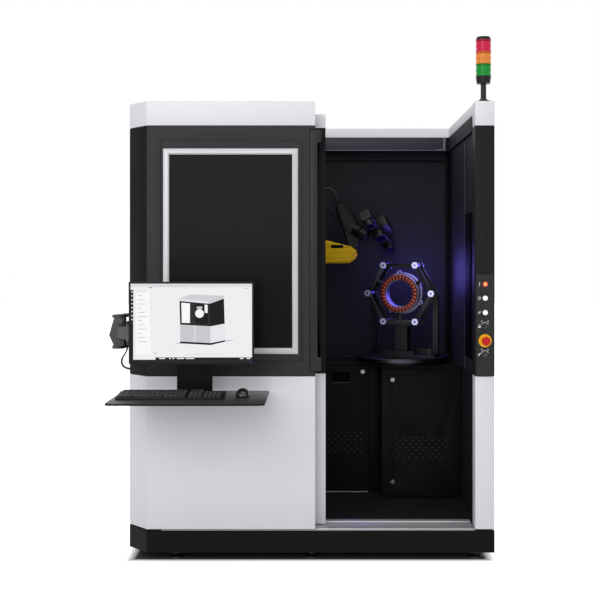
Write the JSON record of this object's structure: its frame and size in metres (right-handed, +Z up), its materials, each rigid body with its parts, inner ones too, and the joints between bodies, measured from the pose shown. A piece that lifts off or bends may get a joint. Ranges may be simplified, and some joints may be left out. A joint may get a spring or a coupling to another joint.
{
  "type": "three-dimensional inspection system",
  "caption": "Free-standing optical inspection cell: robot-carried stereo sensor over a turntable fixture in a chamber with a sliding door, operator console and signal tower.",
  "frame": {"origin": "on the floor, in the middle of the whole object's bounding box", "axes": "+Z up, +Y from the front face to the rear, +X to the right for someone facing the doorway"},
  "size_m": [1.771, 1.7, 2.4005],
  "materials": {
    "white_paint": "fine textured white powder coat",
    "dark_paint": "fine textured anthracite powder coat",
    "chamber_paint": "matt dark powder coat inside the chamber",
    "base_paint": "black powder coat",
    "black_glass": "dark tinted pane",
    "anodised": "satin anodised aluminium",
    "handle_paint": "satin black powder coat",
    "foot_steel": "black zinc",
    "lock_chrome": "polished zinc die casting",
    "platter_black": "black anodised",
    "fixture_black": "black anodised",
    "cast_housing": "machined cast aluminium",
    "copper_winding": "enamelled copper",
    "robot_yellow": "gloss yellow paint on cast aluminium",
    "robot_black": "black anodised",
    "sensor_grey": "dark grey anodised",
    "lens_glass": "coated lens glass lit blue",
    "arm_grey": "grey powder coat on a casting",
    "console_black": "black powder coat",
    "key_black": "matt black plastic",
    "monitor_black": "matt black plastic",
    "screen": "lit display",
    "bezel_metal": "satin steel",
    "lamp_red": "translucent red plastic",
    "lamp_white": "translucent white plastic",
    "switch_black": "black plastic",
    "stop_yellow": "yellow plastic",
    "stop_red": "red plastic",
    "tower_black": "black plastic",
    "lens_green": "translucent green plastic",
    "lens_amber": "translucent amber plastic",
    "lens_red": "translucent red plastic",
    "cable_black": "flexible sheath"
  },
  "bodies": {
    "cabinet": {"levelling_feet": "foot_steel", "base_plinth": "base_paint", "door_rails": "anodised", "front_panel": "dark_paint", "window_frame": "anodised", "window_pane": "black_glass", "panels_lower": "white_paint", "panels_upper": "dark_paint", "top_cap": "white_paint", "inner_frame": "chamber_paint", "control_plate": "handle_paint", "lower_carcasses": "chamber_paint", "turntable_drive": "fixture_black", "robot_base": "robot_yellow", "arm_bracket": "arm_grey", "estop_collar": "stop_yellow", "button_bezels": "bezel_metal", "tower_stand": "anodised", "tower_housing": "tower_black", "tower_lens_green": "lens_green", "tower_lens_amber": "lens_amber", "tower_lens_red": "lens_red", "monitor_cable": "cable_black"},
    "sliding_door": {"sliding_door_frame": "dark_paint", "sliding_door_pane": "black_glass", "sliding_door_lower": "white_paint", "sliding_door_cap": "white_paint", "sliding_door_handle": "handle_paint"},
    "left_leaf": {"lower_door_left": "chamber_paint"},
    "right_leaf": {"lower_door_right": "chamber_paint"},
    "left_lock": {"lock_left": "lock_chrome"},
    "upper_lock": {"lock_right_upper": "lock_chrome"},
    "lower_lock": {"lock_right_lower": "lock_chrome"},
    "turntable": {"turntable_platter": "platter_black", "fixture_stand": "fixture_black", "fixture_hexagons": "fixture_black", "fixture_spacers": "anodised", "sample_housing": "cast_housing", "sample_winding": "copper_winding"},
    "shoulder": {"robot_shoulder": "robot_yellow"},
    "lower_arm": {"robot_lower_arm": "robot_yellow"},
    "elbow": {"robot_elbow": "robot_yellow"},
    "forearm": {"robot_forearm": "robot_yellow"},
    "wrist": {"robot_wrist": "robot_black", "sensor_cable": "cable_black"},
    "sensor": {"sensor_adapter": "sensor_grey", "sensor_head": "sensor_grey", "sensor_lenses": "lens_glass"},
    "wall_arm": {"swing_arm": "arm_grey"},
    "console": {"console_frame": "console_black", "keyboard": "key_black", "mouse": "key_black"},
    "monitor": {"monitor_housing": "monitor_black", "monitor_screen": "screen"},
    "red_button": {"button_red": "lamp_red"},
    "upper_button": {"button_white_upper": "lamp_white"},
    "lower_button": {"button_white_lower": "lamp_white"},
    "stop_button": {"estop_mushroom": "stop_red"},
    "key": {"key_switch": "bezel_metal"},
    "selector": {"selector_switch": "switch_black"}
  },
  "joints": [
    {"name": "door_slide", "type": "slide", "parent": "cabinet", "child": "sliding_door", "axis": [1, 0, 0], "range_m": [0, 0.685]},
    {"name": "left_leaf_hinge", "type": "hinge", "parent": "cabinet", "child": "left_leaf", "pos_m": [-0.2835, 0.514, 0.4], "axis": [0, 0, 1], "range_deg": [-90, 0]},
    {"name": "right_leaf_hinge", "type": "hinge", "parent": "cabinet", "child": "right_leaf", "pos_m": [0.8205, 0.354, 0.4], "axis": [0, 0, 1], "range_deg": [0, 84]},
    {"name": "left_lock_turn", "type": "hinge", "parent": "left_leaf", "child": "left_lock", "pos_m": [0.3185, 0.51, 0.774], "axis": [0, 1, 0], "range_deg": [0, 90]},
    {"name": "upper_lock_turn", "type": "hinge", "parent": "right_leaf", "child": "upper_lock", "pos_m": [0.4675, 0.35, 0.748], "axis": [0, 1, 0], "range_deg": [-90, 0]},
    {"name": "lower_lock_turn", "type": "hinge", "parent": "right_leaf", "child": "lower_lock", "pos_m": [0.4675, 0.35, 0.216], "axis": [0, 1, 0], "range_deg": [-90, 0]},
    {"name": "turntable_spin", "type": "hinge", "parent": "cabinet", "child": "turntable", "pos_m": [0.5255, 0.457, 0.844], "axis": [0, 0, 1], "continuous": true},
    {"name": "robot_axis_1", "type": "hinge", "parent": "cabinet", "child": "shoulder", "pos_m": [-0.4485, 0.65, 0.94], "axis": [0, 0, 1], "range_deg": [-48, 0]},
    {"name": "robot_axis_2", "type": "hinge", "parent": "shoulder", "child": "lower_arm", "pos_m": [-0.3885, 0.65, 1.158], "axis": [0, 1, 0], "range_deg": [-28, 1]},
    {"name": "robot_axis_3", "type": "hinge", "parent": "lower_arm", "child": "elbow", "pos_m": [-0.1495, 0.65, 1.385], "axis": [0, 1, 0], "range_deg": [-30, 1]},
    {"name": "robot_axis_4", "type": "hinge", "parent": "elbow", "child": "forearm", "pos_m": [-0.0415, 0.65, 1.415], "axis": [1, 0, 0], "range_deg": [-3, 30]},
    {"name": "robot_axis_5", "type": "hinge", "parent": "forearm", "child": "wrist", "pos_m": [0.2625, 0.65, 1.412], "axis": [0, 1, 0], "range_deg": [-14, 5]},
    {"name": "robot_axis_6", "type": "hinge", "parent": "wrist", "child": "sensor", "pos_m": [0.2765, 0.64, 1.54], "axis": [0.8504, -0.3542, -0.3892], "range_deg": [-25, 25]},
    {"name": "wall_arm_hinge", "type": "hinge", "parent": "cabinet", "child": "wall_arm", "pos_m": [-0.8495, -0.29, 1.04], "axis": [0, 0, 1], "range_deg": [-80, 0]},
    {"name": "console_hinge", "type": "hinge", "parent": "wall_arm", "child": "console", "pos_m": [-0.7595, -0.41, 1.04], "axis": [0, 0, 1], "range_deg": [-70, 0]},
    {"name": "monitor_tilt", "type": "hinge", "parent": "console", "child": "monitor", "pos_m": [-0.464, -0.626, 1.102], "axis": [1, 0, 0], "range_deg": [-20, 5]},
    {"name": "red_button_press", "type": "slide", "parent": "cabinet", "child": "red_button", "axis": [0, 1, 0], "range_m": [0, 0.004], "stiffness_N_per_m": 800},
    {"name": "upper_button_press", "type": "slide", "parent": "cabinet", "child": "upper_button", "axis": [0, 1, 0], "range_m": [0, 0.004], "stiffness_N_per_m": 800},
    {"name": "lower_button_press", "type": "slide", "parent": "cabinet", "child": "lower_button", "axis": [0, 1, 0], "range_m": [0, 0.004], "stiffness_N_per_m": 800},
    {"name": "stop_press", "type": "slide", "parent": "cabinet", "child": "stop_button", "axis": [0, 1, 0], "range_m": [0, 0.006], "stiffness_N_per_m": 1500},
    {"name": "key_turn", "type": "hinge", "parent": "cabinet", "child": "key", "pos_m": [0.8415, -0.353, 1.068], "axis": [0, 1, 0], "range_deg": [0, 90]},
    {"name": "selector_turn", "type": "hinge", "parent": "cabinet", "child": "selector", "pos_m": [0.8415, -0.353, 0.939], "axis": [0, 1, 0], "range_deg": [-45, 45]}
  ]
}
